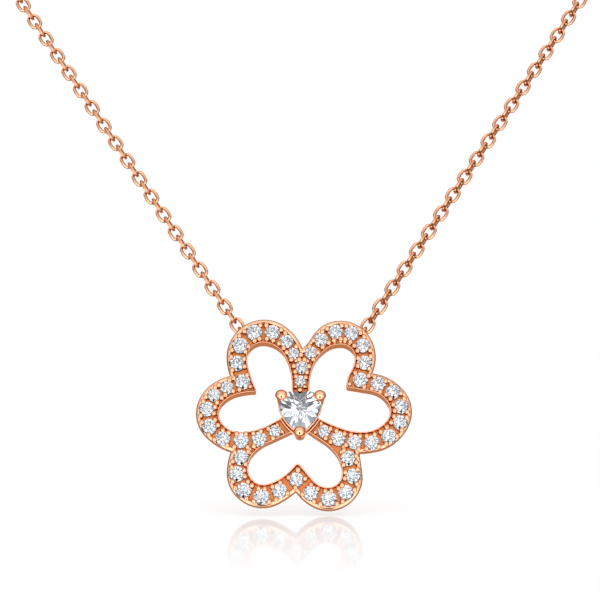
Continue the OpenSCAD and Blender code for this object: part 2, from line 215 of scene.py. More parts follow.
# Painted shade on a link, with rougher metal: how dark the inside, where links overlap, and the outer edge
# are, and where they start, from -1 for the inmost to 1 for the outmost line of the wire.
INNER_PAINTED_SHADE = 0.8
OUTER_PAINTED_SHADE = 0.15
INNER_FROM = -0.3
OUTER_FROM = 0.9

# Each side of the chain: x of its lug ring, lean of the V from upright, side of the body. Then the length of
# the straight run, how far back on it the curve takes its direction from, the route of the curve, and the
# steps from point to point of it.
SIDES = {"left": (-4.27, math.radians(-33.3), -1), "right": (4.58, math.radians(32.8), 1)}
V_LENGTH = 76
LOOK_BACK = 12
ROUTE = [(54.5, -73, -46), (58.5, -60, -28), (57.5, -42, -15), (47, -18.5, -5),
         (26, -3.5, -1), (4.05, 0.55, 0)]
CURVE_STEPS = 24
# The links hang a hair inside the route, so that the widest ones stay within its tube.
INSIDE = 0.9985
# How far ahead of its middle and behind it a link looks for the direction of the route.
LOOK_AHEAD = 0.4

# Clasp: how far its middle lies behind the nape, radius and thickness of its body. Its two loops: radius,
# wire, and how far they run into the body.
CLASP_DEPTH = 0.55
CLASP_RADIUS = 2.2
CLASP_BODY = 1.098
LOOP_RADIUS = 0.45
LOOP_WIRE = 0.28
LOOP_OVERLAP = 0.05
# How far from the clasp's middle the last link's middle hangs, and how far the path runs on past that link.
LAST_LINK = 3.875
PAST_END = 1

# Floor: its mirror-like polish lies in an oval round the pendant's foot. In metres: how far its middle lies
# in front of the origin, and the distances from there over which it fades. Those along x count for less.
POLISH_DEPTH = 0.1035
POLISH_FADE = {"From_Min": 0.003, "From_Max": 0.026}
POLISH_ALONG_X = 0.4
POLISH = 0.33
# Share of the floor that takes light from above. The rest glows, and more where the polish takes light away.
MATT_SHARE = 0.28
GLOW = 0.929
GLOW_UNDER_POLISH = 1.09

# Where the camera stands, in metres.
CAMERA_PLACE = (-0.000029, -0.215625, -0.1217)

# From the flat pendant to its place in the worn necklace, in metres.
WORN = (Matrix.Scale(MM, 4) @ Matrix.Translation(HINGE) @ Matrix.Rotation(-LEAN, 4, "X")
        @ Matrix.Translation((0, -HINGE_DEPTH, -HINGE_HEIGHT)))


# Materials

def node(tree, kind, **inputs):
    """Adds a node and sets inputs by name, with underscores for the spaces."""
    made = tree.nodes.new(kind)
    for name, value in inputs.items():
        made.inputs[name.replace("_", " ")].default_value = value
    return made


def arithmetic(tree, operation, kind="ShaderNodeVectorMath"):
    """Adds a node that works out an operation, on vectors unless another kind is given."""
    made = tree.nodes.new(kind)
    made.operation = operation
    return made


def rose_gold(name, colour, roughness, grain, rough_and_painted_shade=None):
    """Polished rose gold with faint polishing marks: its roughness and tint drift a little over the piece.
    Where the piece's own attribute of that name rises to 1, the metal grows rougher and its colour turns to
    the
    one given there: a painted shade that stands for the dark in recesses and where parts overlap."""
    material = bpy.data.materials.new(name)
    material.use_nodes = True
    tree = material.node_tree
    shader = tree.nodes["Principled BSDF"]
    shader.inputs["Metallic"].default_value = 1.0
    shader.inputs["Specular Tint"].default_value = (0.94, 0.6, 0.42, 1)
    place = node(tree, "ShaderNodeTexCoord")
    cloud = node(tree, "ShaderNodeTexNoise", Scale=900.0, Detail=4.0)
    tree.links.new(place.outputs["Object"], cloud.inputs["Vector"])
    tint = tree.nodes.new("ShaderNodeValToRGB")
    tint.color_ramp.elements[0].position = 0.3
    tint.color_ramp.elements[0].color = (*[c * 0.9 for c in colour], 1)
    tint.color_ramp.elements[1].position = 0.7
    tint.color_ramp.elements[1].color = (*colour, 1)
    tree.links.new(cloud.outputs["Fac"], tint.inputs["Fac"])
    gloss = node(tree, "ShaderNodeMapRange", To_Min=roughness * 0.7, To_Max=roughness * 1.5)
    tree.links.new(cloud.outputs["Fac"], gloss.inputs["Value"])
    if rough_and_painted_shade:
        depth = tree.nodes.new("ShaderNodeAttribute")
        depth.attribute_name = "rough_and_painted_shade"
        painted_shade_mix = tree.nodes.new("ShaderNodeMix")
        painted_shade_mix.data_type = "RGBA"
        painted_shade_mix.inputs[7].default_value = (*rough_and_painted_shade, 1)
        tree.links.new(depth.outputs["Fac"], painted_shade_mix.inputs[0])
        tree.links.new(tint.outputs["Color"], painted_shade_mix.inputs[6])
        tree.links.new(painted_shade_mix.outputs[2], shader.inputs["Base Color"])
        dull = arithmetic(tree, "MULTIPLY_ADD", "ShaderNodeMath")
        dull.inputs[1].default_value = RECESS_ROUGHNESS
        tree.links.new(depth.outputs["Fac"], dull.inputs[0])
        tree.links.new(gloss.outputs["Result"], dull.inputs[2])
        tree.links.new(dull.outputs["Value"], shader.inputs["Roughness"])
    else:
        tree.links.new(tint.outputs["Color"], shader.inputs["Base Color"])
        tree.links.new(gloss.outputs["Result"], shader.inputs["Roughness"])
    marks = node(tree, "ShaderNodeTexNoise", Scale=6000.0, Detail=2.0)
    tree.links.new(place.outputs["Object"], marks.inputs["Vector"])
    bump = node(tree, "ShaderNodeBump", Strength=grain, Distance=0.00002)
    tree.links.new(marks.outputs["Fac"], bump.inputs["Height"])
    tree.links.new(bump.outputs["Normal"], shader.inputs["Normal"])
    return material


def diamond(name, tint):
    """Clear cut stone: the facets and the high refractive index make its pattern."""
    material = bpy.data.materials.new(name)
    material.use_nodes = True
    tree = material.node_tree
    shader = tree.nodes["Principled BSDF"]
    shader.inputs["Transmission Weight"].default_value = 1.0
    shader.inputs["IOR"].default_value = 2.42
    shader.inputs["Roughness"].default_value = 0.0
    place = node(tree, "ShaderNodeTexCoord")
    cloud = node(tree, "ShaderNodeTexNoise", Scale=1500.0, Detail=1.0)
    tree.links.new(place.outputs["Object"], cloud.inputs["Vector"])
    water = tree.nodes.new("ShaderNodeValToRGB")
    water.color_ramp.elements[0].color = (*tint, 1)
    water.color_ramp.elements[1].color = (*[min(1, c * 1.04) for c in tint], 1)
    tree.links.new(cloud.outputs["Fac"], water.inputs["Fac"])
    tree.links.new(water.outputs["Color"], shader.inputs["Base Color"])
    return material


# The last colour given to the band and the chain is a painted shade for their recesses and overlaps.
BAND_GOLD = rose_gold("band_gold", (0.88, 0.43, 0.24), 0.12, 0.2, rough_and_painted_shade=(0.5, 0.15, 0.047))
BEAD_GOLD = rose_gold("bead_gold", (0.9, 0.45, 0.255), 0.07, 0.05)
CHAIN_GOLD = rose_gold("chain_gold", (0.84, 0.39, 0.205), 0.14, 0.1, rough_and_painted_shade=(0.26, 0.053, 0.012))
# The small stones' grey tint is a painted shade that darkens them all over; the heart stone's near-white tint
# keeps it lighter.
SHADED_PAVE_DIAMOND = diamond("pave_diamond", (0.7, 0.71, 0.725))
HEART_DIAMOND = diamond("heart_diamond", (1.0, 0.97, 0.965))


# Making pieces

def finished(name, bm):
    """Makes an object of a finished shape."""
    mesh = bpy.data.meshes.new(name)
    bm.to_mesh(mesh)
    bm.free()
    made = bpy.data.objects.new(name, mesh)
    bpy.context.scene.collection.objects.link(made)
    return made


def piece(name, bm, body, material, replaces, sharp=35):
    """Turns a finished shape, already in metres, into a piece of the necklace. Edges that bend by more than
    sharp degrees stay crisp, and where sharp is 0 every face stays flat."""
    made = finished(name, bm)
    made.data.materials.append(material)
    if sharp:
        made.data.shade_smooth()
        made.data.set_sharp_from_angle(angle=math.radians(sharp))
    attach(made, body)
    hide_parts(*replaces)


def add_copy(bm, part, matrix):
    """Adds a copy of a small shape to another one, moved by a matrix."""
    mesh = bpy.data.meshes.new("copy")
    part.to_mesh(mesh)
    mesh.transform(matrix)
    bm.from_mesh(mesh)
    bpy.data.meshes.remove(mesh)


def pushed_out(bm, face, way):
    """Extrudes a face along a vector and gives the vertices of the far end."""
    grown = bmesh.ops.extrude_face_region(bm, geom=[face])
    far = [v for v in grown["geom"] if isinstance(v, bmesh.types.BMVert)]
    bmesh.ops.translate(bm, verts=far, vec=way)
    return far


def axes(place, x, y, z):
    """Matrix that puts a part's own axes along x, y and z at a place."""
    return Matrix(((x.x, y.x, z.x, place.x), (x.y, y.y, z.y, place.y),
                   (x.z, y.z, z.z, place.z), (0, 0, 0, 1)))


def wire_ring(wire, radius, sides, steps):
    """Round wire ring in the x z plane, spun from the wire's round section."""
    bm = bmesh.new()
    made = bmesh.ops.create_circle(bm, segments=sides, radius=wire / 2)
    upright = Matrix.Rotation(math.pi / 2, 3, "X")
    bmesh.ops.rotate(bm, verts=made["verts"], cent=(0, 0, 0), matrix=upright)
    bmesh.ops.translate(bm, verts=made["verts"], vec=(radius, 0, 0))
    bmesh.ops.spin(bm, geom=bm.verts[:] + bm.edges[:], cent=(0, 0, 0), axis=(0, 0, 1),
                   angle=math.tau, steps=steps, use_merge=True)
    bmesh.ops.rotate(bm, verts=bm.verts[:], cent=(0, 0, 0), matrix=upright)
    bmesh.ops.recalc_face_normals(bm, faces=bm.faces[:])
    return bm


def oval_link(sides, steps):
    """Cable link in the x z plane: a round ring whose two halves are pulled apart along z. Its inside and its
    outer edge are marked for rougher metal and a painted shade, which stands for the dark where links overlap
    and at the wire's edge."""
    middle = LINK_WIDTH / 2 - LINK_WIRE / 2
    bm = wire_ring(LINK_WIRE, middle, sides, steps)
    rough_and_painted_shade = bm.verts.layers.float.new("rough_and_painted_shade")
    for vert in bm.verts:
        out = (math.hypot(vert.co.x, vert.co.z) - middle) / (LINK_WIRE / 2)
        vert[rough_and_painted_shade] = INNER_PAINTED_SHADE if out < INNER_FROM else OUTER_PAINTED_SHADE if out > OUTER_FROM else 0
    pull = (LINK_LENGTH - LINK_WIDTH) / 2
    for s in (-1, 1):
        half = [v for v in bm.verts if v.co.z * s > LINK_WIRE * 0.01]
        bmesh.ops.translate(bm, verts=half, vec=(0, 0, s * pull))
    return bm


# The clover band

def arc_counts(outline):
    """Number of steps along each arc."""
    turns = [abs(math.degrees(2 * half_sweep(outline, i))) for i in range(len(outline))]
    return [max(1, round(turn / ARC_STEP)) for turn in turns]


def chord(outline, i):
    """Straight line from a corner to the next one."""
    a, b = outline[i], outline[(i + 1) % len(outline)]
    return Vector((b[0] - a[0], b[1] - a[1]))


def half_sweep(outline, i):
    """Half the angle that an arc turns through, negative where the arc is hollow."""
    radius = outline[i][2]
    if not radius:
        return 0
    return math.copysign(math.asin(min(1, chord(outline, i).length / 2 / abs(radius))), radius)


def turned(vector, angle):
    return Matrix.Rotation(angle, 2) @ vector


def outward(outline, i):
    """Direction out of the outline, square to the chord."""
    along = chord(outline, i).normalized()
    return Vector((-along.y, along.x))


def moved_out(outline, distance):
    """The same outline moved out by a distance, or in where it is negative."""
    rows = []
    for i, (x, z, radius) in enumerate(outline):
        k = i - 1 if i else len(outline) - 1
        a = turned(outward(outline, k), -half_sweep(outline, k))
        b = turned(outward(outline, i), half_sweep(outline, i))
        shift = (a + b) * distance / (1 + a.dot(b))
        bent = radius > 0 or (radius < 0 and radius + distance < -SHARPEST_HOLLOW)
        rows.append((x + shift.x, z + shift.y, radius + distance if bent else 0))
    # A hollow arc that has shrunk away leaves one sharp corner.
    for i, row in enumerate(rows):
        if outline[i][2] < 0 and not row[2]:
            k = (i + 1) % len(rows)
            x, z = (row[0] + rows[k][0]) / 2, (row[1] + rows[k][1]) / 2
            rows[i], rows[k] = (x, z, 0), (x, z, rows[k][2])
    return rows


def arc_points(outline, counts):
    """Points round an outline, with the given number of steps along each arc."""
    points = []
    for i, (x, z, radius) in enumerate(outline):
        start, along = Vector((x, z)), chord(outline, i)
        if not radius:
            points += [start + along * k / counts[i] for k in range(counts[i])]
            continue
        half = half_sweep(outline, i)
        gap = math.sqrt(max(0, radius * radius - along.length_squared / 4))
        middle = start + along / 2 - outward(outline, i) * math.copysign(gap, radius)
        points += [middle + turned(start - middle, -2 * half * k / counts[i]) for k in range(counts[i])]
    return points


def drawn_out(bm, verts, points):
    """Extrudes a closed loop of verts and moves the new loop to the given points."""
    edges = [bm.edges.get(pair) or bm.edges.new(pair) for pair in zip(verts, verts[1:] + verts[:1])]
    made = set(bmesh.ops.extrude_edge_only(bm, edges=edges)["geom"])
    fresh = [next(e.other_vert(v) for e in v.link_edges if e.other_vert(v) in made) for v in verts]
    for vert, point in zip(fresh, points):
        vert.co = point
    return fresh


def clover_band():
    """Band with rounded rims round a sunken channel. Each outline is drawn out through its section."""
    bm = bmesh.new()
    for outline, section, inwards in (
            (OUTLINE, OUTER_SECTION, -1), (LEFT_OPENING, OPENING_SECTION, 1),
            (RIGHT_OPENING, OPENING_SECTION, 1), (LOWER_OPENING, OPENING_SECTION, 1)):
        counts = arc_counts(outline)
        loops = [[Vector((p.x, depth, p.y))
                  for p in arc_points(moved_out(outline, inwards * inset), counts)]
                 for inset, depth in section]
        verts = [bm.verts.new(point) for point in loops[0]]
        for points in loops[1:]:
            verts = drawn_out(bm, verts, points)
    bmesh.ops.remove_doubles(bm, verts=bm.verts[:], dist=0.0005)
    for depth, way in ((CHANNEL_DEPTH, -1), (FRAME_DEPTH, 1)):
        edges = [e for e in bm.edges if e.is_boundary and abs(e.verts[0].co.y - depth) < 0.001]
        bmesh.ops.triangle_fill(bm, use_beauty=True, edges=edges, normal=(0, way, 0))
    bmesh.ops.recalc_face_normals(bm, faces=bm.faces[:])
    return bm


def heart_outline(grow, depth):
    """Points round the heart stone's girdle, widened about its middle, at a depth."""
    whole = HEART_HALF + [(-x, z) for x, z in HEART_HALF[-2:0:-1]]
    return [Vector((HEART_MIDDLE.x + x * grow, depth, HEART_MIDDLE.z + (z - HEART_MIDDLE.z) * grow))
            for x, z in whole]


def seat_cutters():
    """Conical seats for the small stones and the pocket for the heart stone, as one cutting tool."""
    bm = bmesh.new()
    for x, z, size in STONES:
        wide = size / 2 + SEAT_ROOM
        wall = GIRDLE_DEPTH + SEAT_WALL
        bottom = GIRDLE_DEPTH + SEAT_DEPTH
        profile = [(0, BURR_TOP), (wide, BURR_TOP), (wide, wall), (SEAT_TIP, bottom), (0, bottom)]
        burr = bmesh.new()
        verts = [burr.verts.new((r, y, 0)) for r, y in profile]
        edges = [burr.edges.new(pair) for pair in zip(verts, verts[1:])]
        bmesh.ops.spin(burr, geom=verts + edges, cent=(0, 0, 0), axis=(0, 1, 0), angle=math.tau, steps=28,
                       use_merge=True)
        bmesh.ops.remove_doubles(burr, verts=burr.verts[:], dist=0.0001)
        bmesh.ops.recalc_face_normals(burr, faces=burr.faces[:])
        add_copy(bm, burr, Matrix.Translation((x, 0, z)))
        burr.free()
    pocket = bm.faces.new([bm.verts.new(point) for point in heart_outline(1, 0)])
    tip = pushed_out(bm, pocket, (0, POCKET_DEPTH, 0))
    bmesh.ops.scale(bm, verts=tip, vec=(POCKET_TIP, 1, POCKET_TIP), space=Matrix.Translation(-HEART_MIDDLE))
    bmesh.ops.recalc_face_normals(bm, faces=bm.faces[:])
    return bm


def cut_away(bm, cutter):
    """Cuts one closed shape out of another."""
    blank = finished("blank", bm)
    tool = finished("cutter", cutter)
    cut = blank.modifiers.new("cut", "BOOLEAN")
    cut.operation = "DIFFERENCE"
    cut.solver = "MANIFOLD"
    cut.object = tool
    done = bmesh.new()
    done.from_object(blank, bpy.context.evaluated_depsgraph_get())
    for used in (blank, tool):
        bpy.data.objects.remove(used)
    return done


def neighbours():
    """Pairs of small stones that lie side by side."""
    pairs = []
    for i, (x, z, size) in enumerate(STONES):
        for other_x, other_z, other_size in STONES[i + 1:]:
            gap = math.hypot(other_x - x, other_z - z) - (size + other_size) / 2
            if gap < WIDEST_GAP:
                pairs.append(((x, z, size), (other_x, other_z, other_size)))
    return pairs


def rim_points():
    """Closely spaced points round all four edges of the band."""
    outlines = (OUTLINE, LEFT_OPENING, RIGHT_OPENING, LOWER_OPENING)
    return [p for outline in outlines for p in arc_points(outline, [RIM_STEPS] * len(outline))]


def grain_places():
    """Where the small beads stand, two on each side of a gap between stones, with radius and nearest rim
    point."""
    rim = rim_points()
    places = [(Vector((x, z)), radius) for x, z, radius in LONE_GRAINS]
    for pair in neighbours():
        for (x, z, size), (other_x, other_z, _) in (pair, pair[::-1]):
            ahead = Vector((other_x - x, other_z - z)).normalized()
            for side in (-1, 1):
                way = turned(ahead, side * GRAIN_TURN)
                spot = Vector((x, z)) + way * (size / 2 + GRAIN_GAP)
                room = min((p - spot).length for p in rim)
                spot += way * max(0, min(GRAIN_SHIFT, room - RIM_ROOM))
                clear = all(math.hypot(spot.x - a, spot.y - b) > d / 2 + STONE_ROOM for a, b, d in STONES)
                apart = all((spot - other).length > GRAIN_SPACING for other, _ in places)
                if clear and apart and room > LEAST_RIM_ROOM:
                    places.append((spot, GRAIN))
    return [(spot, radius, min(rim, key=lambda p: (p - spot).length)) for spot, radius in places]


def pave_grains():
    """Beads raised from the channel, each with a shoulder that runs out to the rim."""
    bm = bmesh.new()
    bead = bmesh.new()
    bmesh.ops.create_uvsphere(bead, u_segments=10, v_segments=6, radius=1)
    back = Vector((0, 1, 0))
    for spot, radius, rim in grain_places():
        out = Vector((rim.x - spot.x, 0, rim.y - spot.y))
        reach = max(SHORTEST_SHOULDER, min(LONGEST_SHOULDER, out.length - SHOULDER_STOP))
        out.normalize()
        across = Vector((out.z, 0, -out.x))
        top = Vector((spot.x, GRAIN_DEPTH, spot.y))
        add_copy(bm, bead, axes(top, out * radius, across * radius, back * radius * GRAIN_FLATNESS))
        add_copy(bm, bead, axes(top + out * reach / 2 + back * SHOULDER_DEPTH,
                                out * (reach / 2 + SHOULDER_OVERLAP),
                                across * radius * SHOULDER_WIDTH, back * SHOULDER_HALF))
    bead.free()
    return bm


# The cut stones

def facet(bm, azimuth, slope, reach, centre):
    """Grinds one flat facet on a closed convex stone. The facet faces azimuth and up by slope from the
    girdle's plane, or down where slope is negative, and meets the plane at a distance of reach from the
    centre."""
    tilt = math.radians(slope)
    out = Vector((math.cos(azimuth), math.sin(azimuth), 0))
    normal = out * math.sin(abs(tilt)) + Vector((0, 0, math.copysign(math.cos(tilt), slope)))
    geom = bm.verts[:] + bm.edges[:] + bm.faces[:]
    cut = bmesh.ops.bisect_plane(bm, geom=geom, dist=1e-6, plane_co=centre + out * reach,
                                 plane_no=normal, clear_outer=True)
    edges = [e for e in cut["geom_cut"] if isinstance(e, bmesh.types.BMEdge)]
    if len(edges) > 2:
        bmesh.ops.holes_fill(bm, edges=edges)


def flat_top(bm, height):
    """Grinds the table flat on a closed stone."""
    bmesh.ops.bisect_plane(bm, geom=bm.verts[:] + bm.edges[:] + bm.faces[:], plane_co=(0, 0, height),
                           plane_no=(0, 0, 1), clear_outer=True)
    bmesh.ops.holes_fill(bm, edges=[e for e in bm.edges if e.is_boundary])


def brilliant():
    """Round brilliant of radius 1 with its table up: 57 facets ground from a round blank."""
    bm = bmesh.new()
    bmesh.ops.create_cone(bm, cap_ends=True, segments=32, radius1=1, radius2=1, depth=4)
    eighth = math.tau / 8
    flat_top(bm, CROWN_HEIGHT + GIRDLE_HALF)
    up, down = Vector((0, 0, GIRDLE_HALF)), Vector((0, 0, -GIRDLE_HALF))
    for k in range(8):
        facet(bm, k * eighth, CROWN_MAINS, 1, up)
        facet(bm, k * eighth, -PAVILION_MAINS, 1, down)
    for k in range(16):
        facet(bm, (k + 0.5) * eighth / 2, CROWN_HALVES, math.cos(eighth / 4), up)
        facet(bm, (k + 0.5) * eighth / 2, -PAVILION_HALVES, math.cos(eighth / 4), down)
    for k in range(8):
        rise = CROWN_HEIGHT / math.tan(math.radians(CROWN_STARS))
        facet(bm, (k + 0.5) * eighth, CROWN_STARS, TABLE_REACH * math.cos(eighth / 2) + rise, up)
    bmesh.ops.recalc_face_normals(bm, faces=bm.faces[:])
    return bm


def heart_brilliant():
    """Heart brilliant, made as one convex half and its mirror image. Its table faces up."""
    bm = bmesh.new()
    middle = HEART_MIDDLE.z
    verts = [bm.verts.new((x, z - middle, -3)) for x, z in HEART_HALF]
    pushed_out(bm, bm.faces.new(verts), (0, 0, 6))
    bmesh.ops.recalc_face_normals(bm, faces=bm.faces[:])
    flat_top(bm, HEART_CROWN)
    up, down = Vector((0, 0, HEART_GIRDLE_HALF)), Vector((0, 0, -HEART_GIRDLE_HALF))
    culet = HEART_PAVILION - HEART_GIRDLE_HALF
    for k in range(len(HEART_HALF) - 1):
        (x, z), (next_x, next_z) = HEART_HALF[k], HEART_HALF[k + 1]
        along = Vector((next_x - x, next_z - z)).normalized()
        azimuth = math.atan2(along.x, -along.y)
        reach = math.cos(azimuth) * x + math.sin(azimuth) * (z - middle)
        if reach < LEAST_REACH:
            continue
        steep = math.degrees(math.atan2(culet, reach))
        odd = k % 2
        facet(bm, azimuth, -(steep + HEART_STEEPER[odd]), reach, down)
        facet(bm, azimuth + LOWER_TURN, -steep * LOWER_SLOPE, reach * LOWER_REACH,
              down - Vector((0, 0, culet * LOWER_DEPTH)))
        facet(bm, azimuth, HEART_CROWN_MAINS[odd], reach, up)
        if not odd:
            facet(bm, azimuth, HEART_STARS, reach + HEART_STAR_OUT, up)
    flat = [f for f in bm.faces if all(abs(v.co.x) < 1e-5 for v in f.verts)]
    bmesh.ops.delete(bm, geom=flat, context="FACES_ONLY")
    bmesh.ops.mirror(bm, geom=bm.verts[:] + bm.edges[:] + bm.faces[:], merge_dist=1e-5, axis="X")
    bmesh.ops.remove_doubles(bm, verts=bm.verts[:], dist=1e-5)
    bmesh.ops.recalc_face_normals(bm, faces=bm.faces[:])
    return bm


def set_stone(place, size, turn):
    """Matrix for a stone whose table faces the front of the pendant."""
    return (Matrix.Translation(place) @ Matrix.Rotation(math.pi / 2, 4, "X") @ Matrix.Rotation(turn, 4, "Z")
            @ Matrix.Diagonal((size, size, size, 1)))


# Prongs, basket and lug rings

def bar(bm, start, end, thick, thin, segments=24):
    """Tapered round bar from start to end."""
    along = end - start
    made = bmesh.ops.create_cone(bm, cap_ends=True, segments=segments, radius1=thick, radius2=thin,
                                 depth=along.length)
    turn = along.to_track_quat("Z", "Y").to_matrix()
    bmesh.ops.rotate(bm, verts=made["verts"], cent=(0, 0, 0), matrix=turn)
    bmesh.ops.translate(bm, verts=made["verts"], vec=(start + end) / 2)


def ball(bm, place, size, segments=24):
    """Ball at a place. Its size is its radius along x, y and z."""
    made = bmesh.ops.create_uvsphere(bm, u_segments=segments, v_segments=segments * 5 // 8, radius=1)
    bmesh.ops.scale(bm, verts=made["verts"], vec=size)
    bmesh.ops.translate(bm, verts=made["verts"], vec=place)


def joint(bm, place, radius, segments=24):
    """Ball that rounds the joint between two bars, a hair thinner than they are."""
    ball(bm, place, Vector((1, 1, 1)) * radius * 0.98, segments)


def heart_basket():
    """Three ball-tipped prongs, the rails under the heart stone's edge and the bead above its notch."""
    bm = bmesh.new()
    for (x, z), shaft in PRONGS:
        ball(bm, Vector((x, BALL_DEPTH, z)), BALL_SIZE, 32)
        for (ax, ay, az, thick), (bx, by, bz, thin) in zip(shaft, shaft[1:]):
            bar(bm, Vector((ax, ay, az)), Vector((bx, by, bz)), thick, thin)
            joint(bm, Vector((bx, by, bz)), thin)
    for grow, depth, thick, first, last in RAILS:
        rail = heart_outline(grow, depth)[first:last + 1]
        for a, b in zip(rail, rail[1:]):
            bar(bm, a, b, thick, thick, 10)
            joint(bm, b, thick, 10)
    ball(bm, NOTCH_BEAD, NOTCH_BEAD_SIZE)
    return bm


def lug(x, angle):
    """Ring behind the band that the end link turns in, with the foot that joins it to the band's back."""
    bm = wire_ring(LUG_WIRE, LUG_INNER + LUG_WIRE / 2, 16, 32)
    bmesh.ops.rotate(bm, verts=bm.verts[:], cent=(0, 0, 0), matrix=Matrix.Rotation(math.pi / 2, 3, "Z"))
    back = FRAME_DEPTH - HINGE_DEPTH
    bar(bm, Vector((0, back - FOOT_BEFORE, LUG_FOOT)), Vector((0, back + FOOT_BEHIND, LUG_FOOT)), *FOOT_RADII)
    bmesh.ops.transform(bm, verts=bm.verts[:], matrix=Matrix.Translation((x, HINGE_DEPTH, HINGE_HEIGHT))
                        @ Matrix.Rotation(angle, 4, "Y") @ Matrix.Translation((0, 0, -LUG_DROP)))
    return bm


# The chain

def v_point(x, angle, s):
    """Point on a straight run of the V, at a distance s from the hinge line."""
    return Vector((x + s * math.sin(angle), HINGE.y + s * math.cos(angle) * math.sin(LEAN),
                   HINGE.z + s * math.cos(angle) * math.cos(LEAN)))


def mix(a, b, start, end, t):
    """Blend of a and b, where a stands at start and b at end."""
    return a * (end - t) / (end - start) + b * (t - start) / (end - start)


def smooth_point(points, i, u):
    """Point on the smooth curve through points i and i + 1, spaced by the square roots of their distances."""
    a, b, c, d = points[i - 1:i + 3]
    t1 = math.sqrt((b - a).length)
    t2 = t1 + math.sqrt((c - b).length)
    t3 = t2 + math.sqrt((d - c).length)
    t = t1 + (t2 - t1) * u
    ab, bc, cd = mix(a, b, 0, t1, t), mix(b, c, t1, t2, t), mix(c, d, t2, t3, t)
    return mix(mix(ab, bc, 0, t2, t), mix(bc, cd, t1, t3, t), t1, t2, t)


def chain_path(x, angle, side):
    """Closely spaced points from the lug ring up the V and round the neck to the clasp."""
    turns = [Vector((side * a * INSIDE, b, c)) for a, b, c in ROUTE]
    past_end = Vector((-turns[-1].x, turns[-1].y, turns[-1].z))
    guides = [v_point(x, angle, V_LENGTH - LOOK_BACK), v_point(x, angle, V_LENGTH)] + turns + [past_end]
    points = [v_point(x, angle, s) for s in range(V_LENGTH)]
    points += [smooth_point(guides, i, u / CURVE_STEPS)
               for i in range(1, len(guides) - 2) for u in range(CURVE_STEPS)]
    points += [turns[-1], Vector((side * (LAST_LINK - LINK_BEND - PAST_END), turns[-1].y, 0))]
    return points


def link_places(x, angle, side):
    """Matrix of every link's middle, with its own z axis along the chain and every second one on edge."""
    points = chain_path(x, angle, side)
    lengths = [0.0]
    for a, b in zip(points, points[1:]):
        lengths.append(lengths[-1] + (b - a).length)

    def at(s):
        k = next((i for i, total in enumerate(lengths) if total > s), len(lengths) - 1)
        return points[k - 1].lerp(points[k], (s - lengths[k - 1]) / (lengths[k] - lengths[k - 1]))

    total = lengths[-1] - PAST_END - 2 * LINK_BEND
    count = 2 * round(total / PITCH / 2)
    step = total / count
    facing = Vector((0, math.cos(LEAN), -math.sin(LEAN)))
    places = []
    for k in range(count + 1):
        s = LINK_BEND + k * step
        along = (at(s + LOOK_AHEAD) - at(s - LOOK_AHEAD)).normalized()
        across = facing.cross(along).normalized()
        matrix = axes(at(s), across, along.cross(across), along)
        places.append(matrix @ Matrix.Rotation(LINK_TURN if k % 2 else 0, 4, "Z"))
    return places


def chain_links(places):
    """Copies of the link at its places, in metres."""
    bm = bmesh.new()
    link = oval_link(8, 14)
    for matrix in places:
        add_copy(bm, link, matrix)
    link.free()
    bmesh.ops.scale(bm, verts=bm.verts[:], vec=(MM, MM, MM))
    return bm


def spring_ring():
    """Plain round clasp with a loop on each side for the ends of the chain."""
    bm = bmesh.new()
    body = wire_ring(CLASP_BODY, CLASP_RADIUS, 20, 48)
    add_copy(bm, body, Matrix.Translation((0, CLASP_DEPTH, 0)))
    body.free()
    loop = wire_ring(LOOP_WIRE, LOOP_RADIUS, 12, 28)
    reach = CLASP_RADIUS + CLASP_BODY / 2 + LOOP_RADIUS - LOOP_OVERLAP
    for s in (-1, 1):
        at = Matrix.Translation((s * reach, CLASP_DEPTH, 0))
        add_copy(bm, loop, at @ Matrix.Rotation(math.pi / 2, 4, "X"))
    loop.free()
    bmesh.ops.scale(bm, verts=bm.verts[:], vec=(MM, MM, MM))
    return bm


# Assembly

band = cut_away(clover_band(), seat_cutters())
bmesh.ops.remove_doubles(band, verts=band.verts[:], dist=0.0005)
# Everything sunk behind the rims is marked for rougher metal and a painted shade, which stands for the dark
# that its depth would give.
rough_and_painted_shade = band.verts.layers.float.new("rough_and_painted_shade")
for vert in band.verts:
    vert[rough_and_painted_shade] = 1 if ROUGH_AND_SHADED_DEPTHS[0] < vert.co.y < ROUGH_AND_SHADED_DEPTHS[1] else 0
bmesh.ops.transform(band, matrix=WORN, verts=band.verts[:])
piece("clover_band", band, "pendant", BAND_GOLD, ["clover_frame"])

grains = pave_grains()
bmesh.ops.transform(grains, matrix=WORN, verts=grains.verts[:])
piece("pave_grains", grains, "pendant", BEAD_GOLD, ["clover_frame"], sharp=80)

fittings = heart_basket()
for x, angle, _ in SIDES.values():
    ring_part = lug(x, angle)
    add_copy(fittings, ring_part, Matrix())
    ring_part.free()
bmesh.ops.transform(fittings, matrix=WORN, verts=fittings.verts[:])
piece("basket_and_lugs", fittings, "pendant", BEAD_GOLD, ["clover_frame"], sharp=50)

diamonds = bmesh.new()
cut = brilliant()
for i, (x, z, size) in enumerate(STONES):
    add_copy(diamonds, cut, set_stone((x, GIRDLE_DEPTH, z), size / 2, i * 0.7))
cut.free()
bmesh.ops.transform(diamonds, matrix=WORN, verts=diamonds.verts[:])
piece("pave_diamonds", diamonds, "pendant", SHADED_PAVE_DIAMOND, ["pave_stones"], sharp=0)

heart = heart_brilliant()
bmesh.ops.transform(heart, matrix=WORN @ set_stone(HEART_MIDDLE + Vector((0, -HEART_RISE, 0)), 1, 0),
                    verts=heart.verts[:])
piece("heart_diamond", heart, "pendant", HEART_DIAMOND, ["heart_stone"], sharp=0)

for name, (x, angle, side) in SIDES.items():
    places = link_places(x, angle, side)
    piece("end_link_of_" + name, chain_links(places[:1]), "necklace", CHAIN_GOLD,
          ["end_link_" + name])
    piece("cable_links_" + name, chain_links(places[1:]), "necklace", CHAIN_GOLD,
          ["chain_" + name])

piece("spring_ring", spring_ring(), "necklace", CHAIN_GOLD, ["clasp"], sharp=60)


# Floor, light and camera

